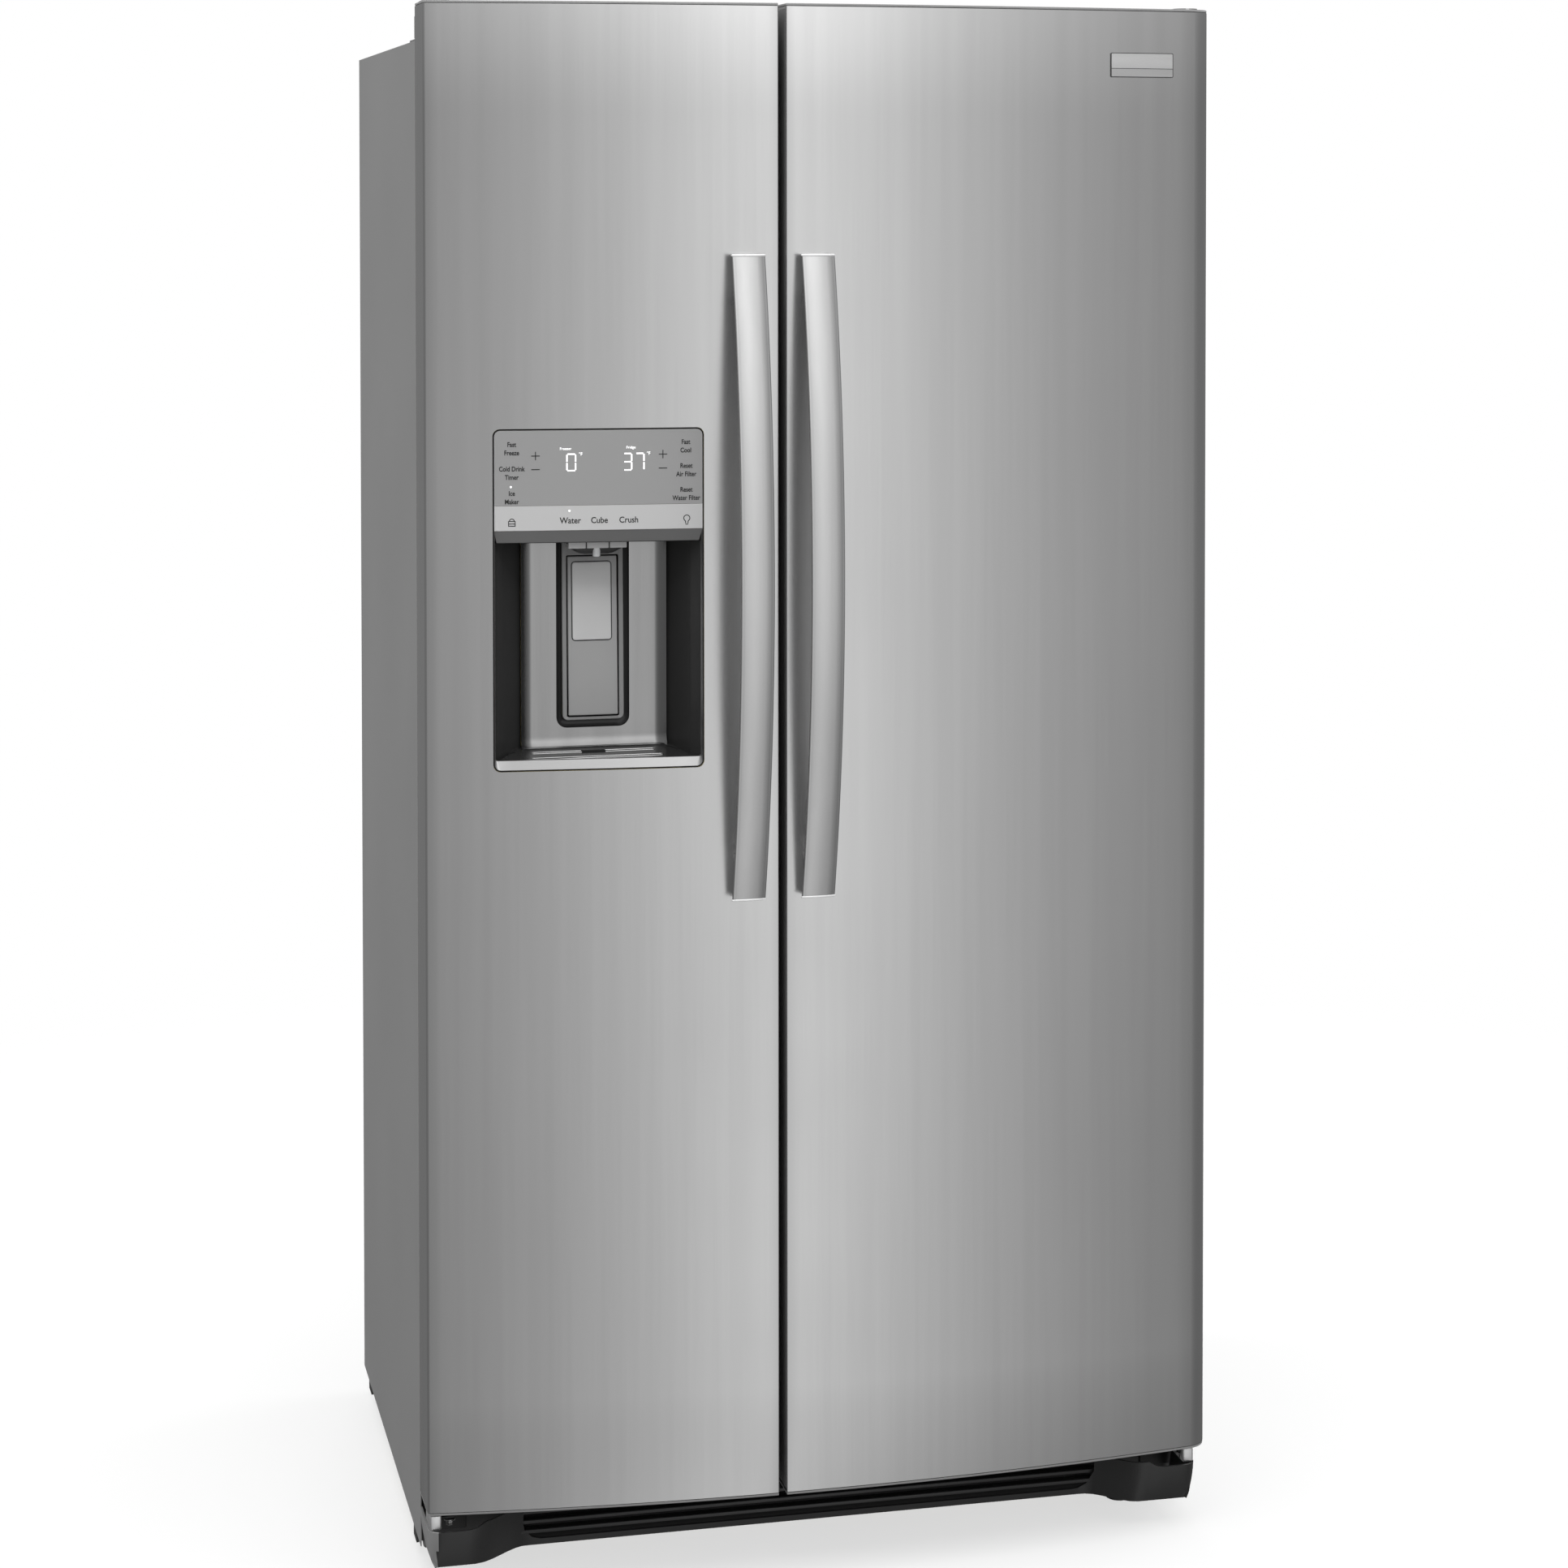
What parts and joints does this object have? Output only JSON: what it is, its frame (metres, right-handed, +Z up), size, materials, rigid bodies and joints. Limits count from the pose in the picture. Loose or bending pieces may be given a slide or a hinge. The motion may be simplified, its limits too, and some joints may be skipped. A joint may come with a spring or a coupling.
{
  "type": "side by side refrigerator",
  "caption": "Free-standing side by side refrigerator with bowed steel doors, bar handles, an ice and water dispenser, shelves, drawers and rollers.",
  "frame": {"origin": "on the floor, under the middle of the object's box", "axes": "+Z up, -Y to the front (doors and handles), +X to the right seen from the front"},
  "size_m": [0.912, 0.816, 1.7757],
  "materials": {
    "stainless": "satin",
    "handle_steel": "satin",
    "side_paint": "satin",
    "plated_steel": "satin",
    "frame_steel": "matte",
    "dark_plastic": "satin",
    "grey_plastic": "satin",
    "panel_grey": "satin",
    "white_plastic": "satin",
    "clear_plastic": "gloss",
    "shelf_glass": "gloss",
    "foam": "matte",
    "gasket_rubber": "matte",
    "black_metal": "satin"
  },
  "bodies": {
    "cabinet": {"cabinet_wrapper": "side_paint", "cabinet_foam": "foam", "rear_panel": "side_paint", "front_frame": "side_paint", "freezer_liner": "white_plastic", "fresh_food_liner": "white_plastic", "base_frame": "frame_steel", "toe_grille": "dark_plastic", "machine_cover": "frame_steel", "water_inlet_valve": "white_plastic", "compressor": "black_metal", "top_hinge_left": "plated_steel", "top_hinge_right": "plated_steel", "hinge_cover_left": "grey_plastic", "hinge_cover_right": "grey_plastic", "bottom_hinge_left": "plated_steel", "bottom_hinge_right": "plated_steel", "evaporator_cover": "white_plastic", "ice_maker": "white_plastic", "ice_bin": "clear_plastic", "freezer_shelf": "shelf_glass", "freezer_basket": "white_plastic", "fridge_shelf_upper": "shelf_glass", "fridge_shelf_lower": "shelf_glass", "deli_drawer": "clear_plastic", "crisper_drawer": "clear_plastic", "light_housing": "white_plastic"},
    "freezer_door": {"freezer_door_skin": "stainless", "freezer_door_foam": "foam", "freezer_door_inner_panel": "white_plastic", "freezer_door_cap_top": "dark_plastic", "freezer_door_cap_bottom": "dark_plastic", "freezer_door_gasket": "gasket_rubber", "freezer_door_handle": "handle_steel", "dispenser_housing": "dark_plastic", "dispenser_panel": "panel_grey", "dispenser_drip_tray": "dark_plastic", "freezer_door_bin": "clear_plastic"},
    "fridge_door": {"fridge_door_skin": "stainless", "fridge_door_foam": "foam", "fridge_door_inner_panel": "white_plastic", "fridge_door_cap_top": "dark_plastic", "fridge_door_cap_bottom": "dark_plastic", "fridge_door_gasket": "gasket_rubber", "fridge_door_handle": "handle_steel", "fridge_door_bin": "clear_plastic", "dairy_bin": "clear_plastic", "badge_plate": "plated_steel"},
    "roller_front_left": {"roller_front_left": "grey_plastic"},
    "roller_front_right": {"roller_front_right": "grey_plastic"},
    "roller_rear_left": {"roller_rear_left": "grey_plastic"},
    "roller_rear_right": {"roller_rear_right": "grey_plastic"},
    "levelling_foot_left": {"levelling_foot_left": "black_metal"},
    "levelling_foot_right": {"levelling_foot_right": "black_metal"},
    "condenser_fan": {"condenser_fan": "dark_plastic"},
    "evaporator_fan": {"evaporator_fan": "dark_plastic"},
    "ice_auger": {"ice_auger": "plated_steel"},
    "dispenser_paddle": {"dispenser_paddle": "grey_plastic"},
    "dispenser_chute_flap": {"dispenser_chute_flap": "dark_plastic"},
    "dairy_lid": {"dairy_lid": "clear_plastic"}
  },
  "joints": [
    {"name": "freezer_door_hinge", "type": "hinge", "parent": "cabinet", "child": "freezer_door", "pos_m": [-0.436, -0.268, 0.9345], "axis": [0, 0, -1], "range_deg": [0, 120]},
    {"name": "fridge_door_hinge", "type": "hinge", "parent": "cabinet", "child": "fridge_door", "pos_m": [0.436, -0.268, 0.9345], "axis": [0, 0, 1], "range_deg": [0, 120]},
    {"name": "paddle_pivot", "type": "hinge", "parent": "freezer_door", "child": "dispenser_paddle", "pos_m": [-0.263, -0.262, 1.15], "axis": [1, 0, 0], "range_deg": [0, 3], "stiffness_Nm_per_rad": 0.6, "springref_deg": -8.59},
    {"name": "chute_flap_pivot", "type": "hinge", "parent": "freezer_door", "child": "dispenser_chute_flap", "pos_m": [-0.267, -0.269, 1.1795], "axis": [-1, 0, 0], "range_deg": [0, 55], "stiffness_Nm_per_rad": 0.02, "springref_deg": -17.19},
    {"name": "dairy_lid_pivot", "type": "hinge", "parent": "fridge_door", "child": "dairy_lid", "pos_m": [0.189, -0.128, 1.616], "axis": [1, 0, 0], "range_deg": [0, 90]},
    {"name": "ice_auger_spin", "type": "hinge", "parent": "cabinet", "child": "ice_auger", "pos_m": [-0.245, 0.085, 1.285], "axis": [0, 1, 0], "continuous": true},
    {"name": "evaporator_fan_spin", "type": "hinge", "parent": "cabinet", "child": "evaporator_fan", "pos_m": [-0.244, 0.318, 1.56], "axis": [0, 1, 0], "continuous": true},
    {"name": "condenser_fan_spin", "type": "hinge", "parent": "cabinet", "child": "condenser_fan", "pos_m": [0.04, 0.3, 0.15], "axis": [1, 0, 0], "continuous": true},
    {"name": "roller_front_left_spin", "type": "hinge", "parent": "cabinet", "child": "roller_front_left", "pos_m": [-0.435, -0.15, 0.022], "axis": [1, 0, 0], "continuous": true},
    {"name": "roller_front_right_spin", "type": "hinge", "parent": "cabinet", "child": "roller_front_right", "pos_m": [0.435, -0.15, 0.022], "axis": [1, 0, 0], "continuous": true},
    {"name": "roller_rear_left_spin", "type": "hinge", "parent": "cabinet", "child": "roller_rear_left", "pos_m": [-0.435, 0.35, 0.024], "axis": [1, 0, 0], "continuous": true},
    {"name": "roller_rear_right_spin", "type": "hinge", "parent": "cabinet", "child": "roller_rear_right", "pos_m": [0.435, 0.35, 0.024], "axis": [1, 0, 0], "continuous": true},
    {"name": "levelling_foot_left_screw", "type": "slide", "parent": "cabinet", "child": "levelling_foot_left", "axis": [0, 0, -1], "range_m": [0, 0.02]},
    {"name": "levelling_foot_right_screw", "type": "slide", "parent": "cabinet", "child": "levelling_foot_right", "axis": [0, 0, -1], "range_m": [0, 0.02]}
  ]
}
